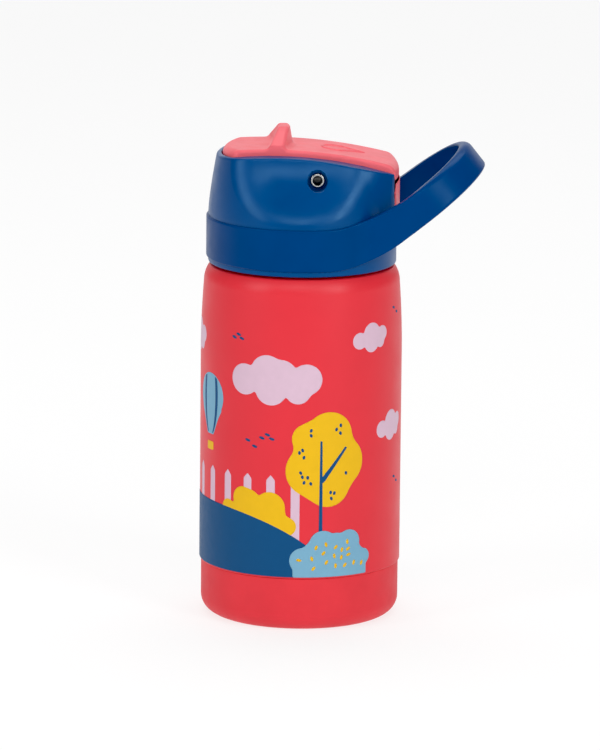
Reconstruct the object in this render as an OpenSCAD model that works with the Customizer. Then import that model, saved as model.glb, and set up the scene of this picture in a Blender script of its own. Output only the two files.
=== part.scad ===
/* Insulated straw bottle for a child. The base stands on z = 0, the bottle's axis is Z,
   the drinking side faces -X and the carry loop reaches out to +X. Millimetres. */

/* [Bottle] */
// Outer radius of the barrel
body_r = 36; // [35.5:0.1:37]
// Height of the shoulder that the lid sits over
shoulder_z = 127.3; // [110:0.1:160]
// Radius of the barrel where the shoulder rounds off
shoulder_r = 35; // [34.5:0.1:35.4]
// Wall of the outer and inner steel shells
shell_t = 0.5; // [0.4:0.05:0.7]
// Inner radius of the liner
liner_r = 31.8; // [30.5:0.1:32]
// Height of the liner's floor
liner_floor_z = 6.9; // [6.5:0.1:12]

/* [Neck] */
// Clear radius of the mouth
mouth_r = 27.6; // [27.5:0.05:27.8]
// Height of the neck above the lid's lower edge
neck_h = 7.9; // [7.5:0.1:8]
// Depth of the thread
thread_d = 1; // [0.6:0.1:1.1]
// Rise of the thread in one turn
thread_pitch = 3; // [2.4:0.1:3]
// Turns of thread
thread_turns = 1.4; // [1:0.1:1.5]

/* [Base boot] */
// Height of the boot round the foot of the bottle
boot_h = 19.5; // [14:0.5:26]
// Radius of the boot's rounded lower edge
boot_corner = 9.8; // [9:0.1:11]

/* [Lid] */
// Radius of the lid's skirt
lid_r = 33.6; // [33.4:0.1:33.8]
// Height of the lid's side at the front rim
lid_h = 40.4; // [39.5:0.1:41]
// Half width of the channel that the cover closes
channel_w = 15; // [14.5:0.1:15.2]
// Radius of the scoops in the lid's two sides
scoop_r = 21.5; // [20:0.1:23]
// Inner radius of the well inside the neck
well_r = 26.3; // [26.1:0.05:26.3]

/* [Flip cover] */
// Distance of the hinge pin behind the bottle's axis
pivot_x = 5.2; // [5:0.1:5.4]
// Height of the hinge pin above the lid's lower edge
pivot_h = 32.8; // [32.6:0.1:33]
// Radius of the hinge pin
pin_r = 2.5; // [2:0.1:2.6]
// Reach of the cover behind the bottle's axis
cover_rear = 34.2; // [33.8:0.1:34.2]
// Reach of the cover in front of the bottle's axis
cover_front = 28.6; // [27.6:0.1:28.7]
// Height of the thumb fin's top above the lid's lower edge
fin_top = 49.5; // [46:0.1:52]

/* [Carry handle] */
// Slope of the loop
loop_tilt = 38.5; // [37:0.5:40]
// Outer half width of the loop
loop_w = 27; // [26.5:0.1:27.5]
// Thickness of the strap
strap_t = 3.8; // [3:0.1:4.5]
// Height of the strap, square to its slope
strap_h = 11.3; // [9:0.1:12]
// Reach of the loop's end, at mid height
loop_reach = 61.9; // [58:0.1:66]

/* [Straw] */
// Distance of the straw and spout in front of the bottle's axis
straw_x = 4; // [3.8:0.1:4.4]
// Outer radius of the straw
straw_r = 3.5; // [3:0.1:3.7]
// Length of the spout beyond its bend
spout_len = 22; // [18:0.5:22]

/* [Hidden] */
$fn = 96;

// Colours
red = [0.87, 0.20, 0.23];
navy = [0.05, 0.16, 0.36];
coral = [0.93, 0.42, 0.42];
steel = [0.75, 0.76, 0.78];
milk = [0.92, 0.92, 0.90];
clear = [0.80, 0.86, 0.92];

// Bottle
lid_z = shoulder_z + 0.6;              // the lid's lower edge, just clear of the shoulder
neck_r = mouth_r + 2 * shell_t;        // outer radius of the neck, under the thread
rim_z = lid_z + neck_h;                // top of the neck
waist_z = shoulder_z - 32.3;           // where the barrel starts to draw in
shoulder_arc = 9.4;                    // radius of the shoulder's curve
foot_r = body_r - 1.8;                 // the shell inside the boot
foot_z = 2;                            // underside of the shell
foot_corner = 8.6;                     // rounded lower edge of the shell
floor_r = foot_r - foot_corner - 1.1;  // radius of the disc that closes the shell
boot_r = body_r - 0.55;
boot_floor = 1.5;
boot_wall_r = foot_r + 0.15;
ring_r1 = 15;                          // non-slip ring in the boot's underside
ring_r2 = 23;
ring_t = 0.8;
liner_corner = 8;

// Lid, all heights from the lid's lower edge
gasket_t = 1.2;
deck_bot = neck_h + gasket_t;
deck_top = deck_bot + 1.6;
well_bot = 1.9;
well_floor = well_bot + 1.4;
core_in = neck_r + thread_d + 0.4;     // clear of the thread
core_out = lid_r - 1.8;
skirt_in = core_out + 0.1;
rim_gap = 0.3;                         // play between the cover and the lid
band_bot = 1.9;
band_top = 16.7;
band_r = lid_r + 0.7;
band_in = lid_r - 0.9;
housing_x = -10.3;                     // crown of the housing's top edge
housing_arc = 147.5;
cover_x = -12.2;                       // crown of the cover's top
cover_arc = 180;
cover_crown = lid_h + 2;
cover_w = channel_w - rim_gap;
cover_t = 2.2;
cover_side = 1.8;
rear_arc = 73;                         // plan curve of the lid's back
plate_x = cover_rear + 0.7;
plate_bot = band_top + 3.3;
plate_top = pivot_h - 2.1;
jaw_x = 33.2;                          // rear edge of the housing's two jaws
jaw_w = channel_w + 0.5;
ledge_h = lid_h - 5.4;                 // ledge that the closed cover rests on
scoop_y = 41.9;
scoop_z = 42.5;
hollow_r = lid_r - 4.2;                // the housing's sides are hollow between hollow_y and hollow_r
hollow_y = channel_w + 2.4;
scoop_wall = 2.2;
boss_r = 5.4;                          // boss that carries the pin
recess_r = 3.4;                        // recess round the pin's end, from recess_y out
recess_y = 21.2;
hub_r = 4.6;                           // the cover's hubs on the pin
hub_t = 3.7;
pin_end = 22.4;                        // half length of the hinge pin
run_gap = 0.05;                        // running fit of the pin in the cover
spout_h = 28.1;                        // bend of the spout
knuckle_r = 5.2;
knuckle_gap = 0.3;
spout_r = 4.3;
spout_bore = 2.2;
flange_r = 7.1;                        // foot of the mouthpiece, on the well's floor
sleeve_r = 4.6;                        // its sleeve through the floor, with the straw inside
vent_pos = [-16, 12];
vent_r = 1.2;

// Points on an arc about [cx, cy], from angle a0 to a1
function arc(cx, cy, r, a0, a1, n = 12) =
    [for (i = [0:n]) let (a = a0 + (a1 - a0) * i / n) [cx + r * cos(a), cy + r * sin(a)]];

// Lower and upper edges of the handle's band, which sweep up into the loop's arms
function band_low(x) = band_bot + 0.0155 * pow(max(0, x - 10), 2);
function band_high(x) = band_top + 0.0124 * pow(max(0, x - 8), 2);

// Half outline of the cover's rear end about the hinge pin, grown by g
function rear_outline(g) = concat([[0, -(cover_w + g)]],
    [for (i = [-12:12]) let (y = (cover_w + g) * i / 12)
        [cover_rear + g - rear_arc + sqrt(rear_arc * rear_arc - y * y) - pivot_x, y]],
    [[0, cover_w + g]]);

// Upright sheet along Y, cut to a side outline given as [x, height] points
module side_cut(outline, half) {
    translate([0, half, 0]) rotate([90, 0, 0]) linear_extrude(2 * half) polygon(outline);
}

// Round solid about an axis along Y through the hinge pin
module about_pin() {
    translate([pivot_x, 0, pivot_h]) rotate([90, 0, 0]) children();
}

module rod_y(r, y0, y1) {
    translate([0, y1, 0]) rotate([90, 0, 0]) cylinder(r = r, h = y1 - y0);
}

// Its children and their mirror image across the XZ plane
module both_sides() {
    children();
    mirror([0, 1, 0]) children();
}

// ---- Bottle ----

// Outline of the outer shell, drawn in by t
function barrel(t) = concat(
    arc(foot_r - foot_corner, foot_z + foot_corner, foot_corner - t, -90, 0),
    [[foot_r - t, boot_h + 0.3 + t], [body_r - 0.4 - t, boot_h + 0.5 + t],
     [body_r - t, boot_h + 1 + t], [body_r - t, waist_z]],
    [for (i = [1:6]) let (s = i / 6) [body_r - t - (body_r - shoulder_r) * s * s,
                                      waist_z + (shoulder_z - 6.3 - waist_z) * s]],
    arc(shoulder_r - shoulder_arc, shoulder_z - 6.3, shoulder_arc - t, 5, 40, 7),
    [[shoulder_r - 3.5 - t / 2, shoulder_z - t], [neck_r + 0.8 - t, shoulder_z - t],
     [neck_r + 0.2 - t, shoulder_z + 0.2 - t], [neck_r - t, shoulder_z + 0.8 - t]]);

module outer_shell() {
    outside = barrel(0);
    inside = barrel(shell_t);
    last = len(inside) - 1;
    color(red) rotate_extrude() polygon(concat(
        [[floor_r, foot_z]], outside, [[neck_r, rim_z - shell_t], [neck_r - shell_t, rim_z - shell_t]],
        [for (i = [0:last]) inside[last - i]], [[floor_r, foot_z + shell_t]]));
}

// Outline of the liner, grown by t
function liner(t) = concat(
    [[0, liner_floor_z - t]],
    arc(liner_r - liner_corner, liner_floor_z + liner_corner, liner_corner + t, -90, 0),
    [[liner_r + t, shoulder_z - 12]],
    arc(liner_r - 8, shoulder_z - 12, 8 + t, 8, 50, 6),
    [[mouth_r + t, shoulder_z - 3.5], [mouth_r + t, rim_z - shell_t]]);

module inner_liner() {
    inside = liner(0);
    last = len(inside) - 1;
    color(steel) rotate_extrude() polygon(concat(
        liner(shell_t), [[neck_r, rim_z - shell_t], [neck_r, rim_z - 0.15], [neck_r - 0.2, rim_z],
        [mouth_r + 0.2, rim_z], [mouth_r, rim_z - 0.2]], [for (i = [0:last]) inside[last - i]]));
}

module shell_floor() {
    color(steel) translate([0, 0, foot_z]) cylinder(r = floor_r - 0.05, h = shell_t + 0.1);
}

module getter_cap() {
    color(steel) translate([0, 0, boot_floor + 0.05]) cylinder(r = 5, h = foot_z - boot_floor - 0.05);
}

module base_boot() {
    color(red) difference() {
        rotate_extrude() polygon(concat([[0, 0]],
            arc(boot_r - boot_corner, boot_corner, boot_corner, -90, 0),
            [[boot_r, boot_h - 0.4], [boot_r - 0.3, boot_h], [boot_wall_r, boot_h]],
            arc(boot_wall_r - foot_corner, boot_floor + foot_corner, foot_corner, 0, -90),
            [[0, boot_floor]]));
        translate([0, 0, -1]) difference() {
            cylinder(r = ring_r2, h = 1 + ring_t);
            cylinder(r = ring_r1, h = 1 + ring_t);
        }
    }
}

module foot_ring() {
    color([0.25, 0.26, 0.28]) difference() {
        cylinder(r = ring_r2 - 0.05, h = ring_t - 0.05);
        translate([0, 0, -1]) cylinder(r = ring_r1 + 0.05, h = 3);
    }
}

// One ring of the thread at turn u: foot, crest, crest, foot; it runs in and out at its ends
function thread_ring(u, s) = let (a = 360 * u, fade = min(1, 0.1 + 8 * s, 0.1 + 8 * (1 - s)),
        z = lid_z + 1.5 + thread_pitch * u, foot = neck_r + 0.04, r = neck_r + thread_d * fade)
    [for (p = [[foot, -1], [r, -0.35], [r, 0.35], [foot, 1]])
        [p[0] * cos(a), p[0] * sin(a), z + p[1]]];

module neck_thread() {
    n = 100;
    points = [for (i = [0:n]) each thread_ring(thread_turns * i / n, i / n)];
    sides = [for (i = [0:n - 1]) for (j = [0:3]) let (k = (j + 1) % 4)
        [4 * i + j, 4 * i + k, 4 * i + 4 + k, 4 * i + 4 + j]];
    color(steel) polyhedron(points, concat(
        [for (f = sides) [f[0], f[1], f[2]]], [for (f = sides) [f[0], f[2], f[3]]],
        [[3, 2, 1], [3, 1, 0]], [[4 * n, 4 * n + 1, 4 * n + 2], [4 * n, 4 * n + 2, 4 * n + 3]]));
}

module neck_gasket() {
    color(milk) translate([0, 0, rim_z]) difference() {
        cylinder(r = core_in - 0.5, h = gasket_t);
        translate([0, 0, -1]) cylinder(r = mouth_r + 0.1, h = gasket_t + 2);
    }
}

// ---- Lid: each part is drawn from the lid's lower edge and lifted onto the neck ----

module on_neck() {
    translate([0, 0, lid_z]) children();
}

module lid_core() {
    color(milk) on_neck() difference() {
        union() {
            rotate_extrude() polygon([[0, well_bot], [well_r + 0.4, well_bot], [well_r + 1, well_bot + 0.6],
                [well_r + 1, deck_bot], [core_in, deck_bot], [core_in, 0.5], [core_out, 0.5],
                [core_out, deck_top], [well_r, deck_top], [well_r, well_floor], [0, well_floor]]);
            translate([-straw_x, 0, well_floor]) cylinder(r = flange_r + 1.9, h = 1);
        }
        translate([-straw_x, 0, 0]) cylinder(r = sleeve_r + 0.1, h = 12);
        translate([-straw_x, 0, well_floor]) cylinder(r = flange_r + 0.1, h = 12);
        translate([vent_pos[0], vent_pos[1], 0]) cylinder(r = vent_r, h = 12);
    }
}

// Plan of the channel in front of the pin: straight sides and a round front end
module channel(half, front, h0, h1) {
    translate([0, 0, h0]) intersection() {
        translate([-40, -half, 0]) cube([40 + pivot_x, 2 * half, h1 - h0]);
        cylinder(r = front, h = h1 - h0);
    }
}

// Room that the cover's rear half swings through, with g of play
module rear_sweep(g) {
    intersection() {
        about_pin() rotate_extrude() polygon(rear_outline(g));
        translate([pivot_x - 4, -40, 0]) cube([60, 80, 80]);
    }
}

// The band's ring and the roots of the loop's arms, grown by g
module band(g) {
    ring = concat([for (i = [-36:2:36]) [i, band_low(i) - g]],
                  [for (i = [36:-2:-36]) [i, band_high(min(i, 22)) + g]]);
    root = concat([for (i = [14:2:36]) [i, band_low(i) - g]], [[36.5, band_low(36.5) - g],
                  [36.5, band_high(36.5) + g]], [for (i = [36:-2:14]) [i, band_high(i) + g]]);
    intersection() {
        difference() {
            cylinder(r = band_r, h = 40);
            translate([0, 0, -1]) cylinder(r = band_in - g, h = 42);
        }
        side_cut(ring, 40);
    }
    for (s = [-1, 1]) intersection() {
        difference() {
            translate([14, s * (loop_w - strap_t / 2) - strap_t / 2 - g, 0])
                cube([22.5, strap_t + 2 * g, 60]);
            cylinder(r = band_in - g, h = 60);
        }
        side_cut(root, 40);
    }
}

module lid_housing() {
    color(navy) on_neck() difference() {
        union() {
            rotate_extrude() polygon([[0, 0], [lid_r - 0.6, 0], [lid_r, 0.8], [lid_r, band_top + 1.3],
                [lid_r - 1.7, 32], [lid_r - 2.7, 38], [lid_r - 3.4, 41], [0, 41]]);
            // The two jaws square off the back between the loop's arms
            translate([0, 0, band_top + 3]) linear_extrude(24)
                polygon([[19.4, 25.8], [jaw_x, jaw_w], [jaw_x, -jaw_w], [19.4, -25.8]]);
        }
        // Top edge, one long arc that falls to the rear
        translate([0, 0, lid_h]) difference() {
            translate([-50, -50, -30]) cube([100, 100, 60]);
            translate([housing_x, 0, -housing_arc]) rod_y(housing_arc, -60, 60, $fn = 360);
        }
        // Room for the core, the channel and the cover's swing
        translate([0, 0, -1]) cylinder(r = skirt_in, h = deck_top + 1.1);
        channel(channel_w, cover_front + rim_gap, ledge_h, 60);
        channel(channel_w - 1.8, cover_front - 1.2, 0, 60);
        translate([-1, -channel_w, 0]) cube([pivot_x + 1.1, 2 * channel_w, 60]);
        rear_sweep(rim_gap);
        translate([20, -channel_w, band_top + 3.2]) cube([30, 2 * channel_w, 40]);
        translate([pivot_x, -channel_w, pivot_h - 0.1]) cube([40, 2 * channel_w, 40]);
        // The sides are hollow behind the scoops, apart from a boss for the pin
        both_sides() difference() {
            intersection() {
                cylinder(r = hollow_r, h = 33);
                translate([-40, hollow_y, 0]) cube([80, 40, 34]);
            }
            translate([-60, scoop_y, scoop_z]) rotate([0, 90, 0])
                cylinder(r = scoop_r + scoop_wall, h = 120);
            about_pin() cylinder(r = boss_r, h = 100, center = true);
        }
        // Scoops, pin bores and the recesses round the pin's ends
        both_sides() {
            translate([-40, scoop_y, scoop_z]) rotate([0, 90, 0]) cylinder(r = scoop_r, h = 80);
            translate([pivot_x, recess_y, pivot_h]) rotate([-90, 0, 0]) cylinder(r = recess_r, h = 10);
        }
        about_pin() cylinder(r = pin_r, h = 60, center = true);
        band(0.1);
    }
}

// U of the loop in its own sloping plane, measured from the loop's outer end
module loop_outline() {
    bend = loop_w;
    difference() {
        union() {
            translate([-bend, 0]) circle(r = bend);
            translate([-60, -loop_w]) square([60 - bend, 2 * loop_w]);
        }
        translate([-bend, 0]) circle(r = bend - strap_t);
        translate([-61, -loop_w + strap_t]) square([61 - bend, 2 * (loop_w - strap_t)]);
    }
}

module carry_handle() {
    color(navy) on_neck() union() {
        band(0);
        intersection() {
            translate([loop_reach, 0, lid_h - 0.25]) rotate([0, -loop_tilt, 0])
                translate([0, 0, -strap_h / 2]) linear_extrude(strap_h) loop_outline();
            translate([36, -40, 0]) cube([60, 80, 80]);
        }
    }
}

module rear_plate() {
    color(coral) on_neck() difference() {
        intersection() {
            translate([24, -cover_w, plate_bot]) cube([20, 2 * cover_w, plate_top - plate_bot]);
            translate([plate_x - rear_arc, 0, 0]) cylinder(r = rear_arc, h = 60, $fn = 360);
        }
        rear_sweep(rim_gap);
    }
}

module hinge_pin() {
    color(steel) on_neck() about_pin() rotate_extrude() polygon([[0, -pin_end + 0.3], [1.5, -pin_end + 0.3],
        [1.7, -pin_end], [pin_r - 0.5, -pin_end], [pin_r, -pin_end + 0.5], [pin_r, pin_end - 0.5],
        [pin_r - 0.5, pin_end], [1.7, pin_end], [1.5, pin_end - 0.3], [0, pin_end - 0.3]]);
}

// ---- Flip cover ----

// Everything under the cover's long top arc, drawn down by t
module under_crown(t) {
    translate([cover_x, 0, cover_crown - cover_arc]) rod_y(cover_arc - t, -40, 40, $fn = 360);
}

// The cover's outline, drawn in by t; the front half stands above the ledge
module cover_block(t) {
    channel(cover_w - t, cover_front - t, ledge_h + rim_gap - 4 * t, 60);
    intersection() {
        about_pin() rotate_extrude() polygon(rear_outline(-t));
        translate([pivot_x - 6, -cover_w + t, pivot_h - 0.5 - 4 * t]) cube([60, 2 * (cover_w - t), 40]);
    }
}

module flip_cover() {
    // Side outline of the thumb fin, then its outline seen from the front
    fin_side = [[-13.4, fin_top - 8.2], [-10.8, fin_top - 3.2], [-9.2, fin_top - 0.7], [-8.2, fin_top],
                [-5.8, fin_top], [-5, fin_top - 0.8], [-4.2, fin_top - 4], [-2.9, fin_top - 8.2]];
    fin_face = [[-cover_w, fin_top - 8.8], [-cover_w, fin_top - 5.8], [-4.8, fin_top - 0.5], [-3.8, fin_top],
                [3.8, fin_top], [4.8, fin_top - 0.5], [cover_w, fin_top - 5.8], [cover_w, fin_top - 8.8]];
    color(coral) on_neck() difference() {
        union() {
            difference() {
                intersection() {
                    cover_block(0);
                    under_crown(0);
                }
                intersection() {
                    cover_block(cover_side);
                    under_crown(cover_t);
                }
            }
            intersection() {
                side_cut(fin_side, 20);
                translate([-20, 0, 0]) rotate([90, 0, 90]) linear_extrude(40) polygon(fin_face);
            }
            both_sides() translate([pivot_x, cover_w - hub_t, pivot_h]) rotate([-90, 0, 0])
                cylinder(r = hub_r, h = hub_t);
        }
        about_pin() cylinder(r = pin_r + run_gap, h = 60, center = true);
    }
}

module pinch_pad() {
    color(milk) on_neck() intersection() {
        translate([-14, -6, spout_h + knuckle_r + 0.8]) cube([8, 12, 20]);
        under_crown(cover_t);
    }
}

// ---- Straw and spout ----

module mouthpiece_base() {
    top = spout_h - 2.2;
    color(milk) on_neck() translate([-straw_x, 0, 0]) difference() {
        rotate_extrude() polygon([[0, -3.9], [sleeve_r, -3.9], [sleeve_r, well_floor],
            [flange_r, well_floor], [flange_r, well_floor + 1.8], [knuckle_r + 0.6, well_floor + 2.6],
            [knuckle_r, well_floor + 5], [knuckle_r, top], [0, top]]);
        // Round seat of the bend, lower in front so that the spout can fold down
        translate([0, 0, spout_h]) sphere(r = knuckle_r + knuckle_gap);
        translate([-20, -20, spout_h - knuckle_r - knuckle_gap]) cube([20, 40, 20]);
        translate([0, 0, -5]) cylinder(r = spout_bore, h = 40);
        translate([0, 0, -5]) cylinder(r = straw_r, h = 7);
    }
}

module straw_collar() {
    color(milk) on_neck() translate([-straw_x, 0, -0.9]) difference() {
        union() {
            cylinder(r = 6, h = well_bot + 0.8);
            translate([0, 0, well_bot - 0.2]) cylinder(r = 7, h = 1);
        }
        translate([0, 0, -1]) cylinder(r = sleeve_r + 0.05, h = 6);
    }
}

module drinking_straw() {
    foot = liner_floor_z + 2.6;
    top = lid_z + 1.9;
    color(clear) translate([-straw_x, 0, 0]) difference() {
        translate([0, 0, foot]) cylinder(r = straw_r - 0.05, h = top - foot);
        translate([0, 0, foot - 1]) cylinder(r = straw_r - 0.75, h = top - foot + 2);
        // The foot is cut aslant, so that it can't seal against the floor
        translate([0, 0, foot]) rotate([0, 20, 0]) translate([-10, -10, -8]) cube([20, 20, 8]);
    }
}

module vent_valve() {
    color(milk) on_neck() translate([vent_pos[0], vent_pos[1], 0]) union() {
        translate([0, 0, 1.4]) cylinder(r = vent_r - 0.05, h = 3);
        translate([0, 0, well_floor]) cylinder(r = 2, h = 1);
        translate([0, 0, 1]) cylinder(r = 3.6, h = 0.9);
    }
}

module mouthpiece_spout() {
    color(milk) on_neck() translate([-straw_x, 0, spout_h]) rotate([0, -90, 0]) difference() {
        union() {
            sphere(r = knuckle_r);
            rotate_extrude() polygon([[0, 0], [knuckle_r - 0.2, 2], [spout_r, 8], [spout_r, spout_len - 4],
                [spout_r + 0.5, spout_len - 2.5], [spout_r + 0.5, spout_len - 0.8],
                [spout_r - 0.4, spout_len], [0, spout_len]]);
        }
        translate([0, 0, 3]) cylinder(r = spout_bore, h = 40);
    }
}

outer_shell();
inner_liner();
shell_floor();
getter_cap();
base_boot();
foot_ring();
neck_thread();
neck_gasket();
lid_core();
lid_housing();
carry_handle();
rear_plate();
hinge_pin();
mouthpiece_base();
straw_collar();
drinking_straw();
vent_valve();
flip_cover();
pinch_pad();
mouthpiece_spout();
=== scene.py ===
from math import cos, hypot, pi, radians, sin, tan

import bmesh
import bpy
import numpy as np
from mathutils import Matrix, Vector


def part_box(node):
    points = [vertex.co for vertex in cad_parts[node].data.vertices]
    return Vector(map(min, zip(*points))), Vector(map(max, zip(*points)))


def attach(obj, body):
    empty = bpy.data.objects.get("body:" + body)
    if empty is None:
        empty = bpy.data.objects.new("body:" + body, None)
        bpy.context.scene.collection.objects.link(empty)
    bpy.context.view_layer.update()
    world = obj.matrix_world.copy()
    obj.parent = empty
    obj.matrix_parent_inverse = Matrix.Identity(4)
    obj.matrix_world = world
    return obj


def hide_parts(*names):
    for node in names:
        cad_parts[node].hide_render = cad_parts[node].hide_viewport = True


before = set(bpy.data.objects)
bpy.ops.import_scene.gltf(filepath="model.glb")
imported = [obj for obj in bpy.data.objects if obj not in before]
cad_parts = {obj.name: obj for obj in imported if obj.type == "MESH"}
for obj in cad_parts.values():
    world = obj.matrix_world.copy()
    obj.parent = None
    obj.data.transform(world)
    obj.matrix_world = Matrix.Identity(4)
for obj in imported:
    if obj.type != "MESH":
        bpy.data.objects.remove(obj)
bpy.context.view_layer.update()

MM = 0.001


def top(node):
    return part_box(node)[1] / MM


def bottom(node):
    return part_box(node)[0] / MM


WALL = 0.5                                 # thickness of the steel

# Driving sizes, read from the frame
LID_Z = bottom("lid_housing").z            # the lid's lower edge; lid heights are measured from it
BODY_R = top("outer_shell").x
SHELL_FOOT_Z = bottom("outer_shell").z
RIM_Z = top("inner_liner").z
LINER_R = top("inner_liner").x - WALL
LINER_FLOOR = bottom("inner_liner").z + WALL
BOOT_R = top("base_boot").x
BOOT_H = top("base_boot").z
BAND_R = top("carry_handle").y
LOOP_TIP = top("carry_handle").x
COVER_W = top("flip_cover").y
FIN_TOP = top("flip_cover").z - LID_Z
PIN_END = top("hinge_pin").y
PIN_R = (top("hinge_pin").x - bottom("hinge_pin").x) / 2
PIN_X = (top("hinge_pin").x + bottom("hinge_pin").x) / 2
PIN_H = (top("hinge_pin").z + bottom("hinge_pin").z) / 2 - LID_Z
STRAW_X = (top("drinking_straw").x + bottom("drinking_straw").x) / 2
SPOUT_H = (top("mouthpiece_spout").z + bottom("mouthpiece_spout").z) / 2 - LID_Z
KNUCKLE_R = top("mouthpiece_spout").y
SPOUT_TIP = bottom("mouthpiece_spout").x

# Sizes shared by several pieces
SHOULDER_Z = LID_Z - 0.6                   # flat of the shoulder, under the lid
WAIST_Z = SHOULDER_Z - 32.3                # from here up the barrel narrows
SHOULDER_R = BODY_R - 1.0                  # the barrel's radius at the top of its side
SHOULDER_ARC = 9.4                         # radius of the arc from there towards the shoulder's flat
ARC_Z = SHOULDER_Z - 6.3                   # height of that arc's centre and of the side's top
NECK_R = 28.6                              # the neck's outer radius
MOUTH_R = 27.6                             # the mouth's inner radius
GROOVE_IN = 15.0                           # the boot's groove for the foot ring: inner radius,
GROOVE_OUT = 23.0                          # outer radius
GROOVE_H = 0.8                             # and depth
LID_R = BAND_R - 0.7                       # the housing's radius near its lower edge
LID_H = 40.4                               # top of the housing's dome
BAND_IN = BAND_R - 1.6                     # inner radius of the handle's band
CHANNEL_W = COVER_W + 0.3                  # half width of the channel that the cover lies in
COVER_FRONT = 28.6                         # radius of the cover's front edge about the bottle's axis
COVER_REAR = 34.2                          # how far back the cover reaches
REAR_ARC = 73.0                            # radius, from above, of the rear faces of the cover and strip
LEDGE_H = LID_H - 5.4                      # ledge under the cover's edge


# ---------------------------------------------------------------- mesh tools

def link(name, mesh):
    obj = bpy.data.objects.new(name, mesh)
    bpy.context.scene.collection.objects.link(obj)
    return obj


def place(obj, body, material, replaces=()):
    """Gives a finished piece its material, its CAD body and the CAD nodes that it stands for."""
    obj.data.materials.append(material)
    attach(obj, body)
    if replaces:
        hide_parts(*replaces)
    return obj


def rounded(corners, steps=6):
    """Outline through (x, y, radius) corners, each turned with an arc of that radius."""
    share = 0.49                           # of a side that one arc may take up
    outline = []
    for i, (x, y, r) in enumerate(corners):
        here = Vector((x, y))
        if r <= 0:
            outline.append((x, y))
            continue
        before = Vector(corners[i - 1][:2]) - here
        after = Vector(corners[(i + 1) % len(corners)][:2]) - here
        back, on = before.length, after.length
        before.normalize()
        after.normalize()
        half = before.angle(after) / 2
        reach = min(r / tan(half), share * back, share * on)
        r = reach * tan(half)
        centre = here + (before + after).normalized() * (r / sin(half))
        start, end = here + before * reach - centre, here + after * reach - centre
        sweep = start.angle_signed(end)
        for k in range(steps + 1):
            a = -sweep * k / steps
            outline.append(tuple(centre + Vector((start.x * cos(a) - start.y * sin(a),
                                                  start.x * sin(a) + start.y * cos(a)))))
    return outline


def lathe(name, outline, turns=192, centre=(0, 0), lift=0.0, along=None):
    """Closed solid of revolution of a (radius, height) outline about Z, or about the direction along."""
    bm = bmesh.new()
    rings = []
    for r, h in outline:
        if r < 1e-6:
            rings.append([bm.verts.new((0, 0, h))] * turns)
            continue
        rings.append([bm.verts.new((r * cos(2 * pi * k / turns), r * sin(2 * pi * k / turns), h))
                      for k in range(turns)])
    for i, ring in enumerate(rings):
        after = rings[(i + 1) % len(rings)]
        for k in range(turns):
            corners = [ring[k], ring[(k + 1) % turns], after[(k + 1) % turns], after[k]]
            face = list(dict.fromkeys(corners))
            if len(face) > 2:
                bm.faces.new(face)
    bmesh.ops.recalc_face_normals(bm, faces=bm.faces)
    turn = Vector((0, 0, 1)).rotation_difference(Vector(along)).to_matrix().to_4x4() if along else Matrix()
    bm.transform(Matrix.Scale(MM, 4) @ Matrix.Translation((centre[0], centre[1], lift)) @ turn)
    mesh = bpy.data.meshes.new(name)
    bm.to_mesh(mesh)
    bm.free()
    mesh.shade_smooth()
    obj = link(name, mesh)
    obj.modifiers.new("normals", "WEIGHTED_NORMAL").keep_sharp = True
    return obj


# Signed distances: below zero inside a shape. k is the radius of the rounded edge where two shapes meet.

def join(a, b, k=0.0):
    """Union of two shapes."""
    if np.max(k) <= 0:
        return np.minimum(a, b)
    return np.maximum(k, np.minimum(a, b)) - np.hypot(np.maximum(k - a, 0), np.maximum(k - b, 0))


def both(a, b, k=0.0):
    """What two shapes have in common."""
    return -join(-a, -b, k)


def cut(a, b, k=0.0):
    """Shape a without shape b."""
    return both(a, -b, k)


def disc(u, v, r):
    return np.hypot(u, v) - r


def slab(u, half):
    return np.abs(u) - half


def polygon(u, v, points):
    """Signed distance to a closed polygon."""
    nearest, sign = np.inf, 1.0
    for (ax, ay), (bx, by) in zip(points, points[1:] + points[:1]):
        ex, ey = bx - ax, by - ay
        wx, wy = u - ax, v - ay
        t = np.clip((wx * ex + wy * ey) / (ex * ex + ey * ey), 0, 1)
        nearest = np.minimum(nearest, np.hypot(wx - ex * t, wy - ey * t))
        above, crossing = v >= ay, ex * wy > ey * wx
        below = v < by
        flip = (above & below & crossing) | (~above & ~below & ~crossing)
        sign = np.where(flip, -sign, sign)
    return sign * nearest


def smooth(low, high, x):
    """Eases from 0 at low to 1 at high."""
    t = np.clip((x - low) / (high - low), 0, 1)
    return t * t * (3 - 2 * t)


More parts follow.
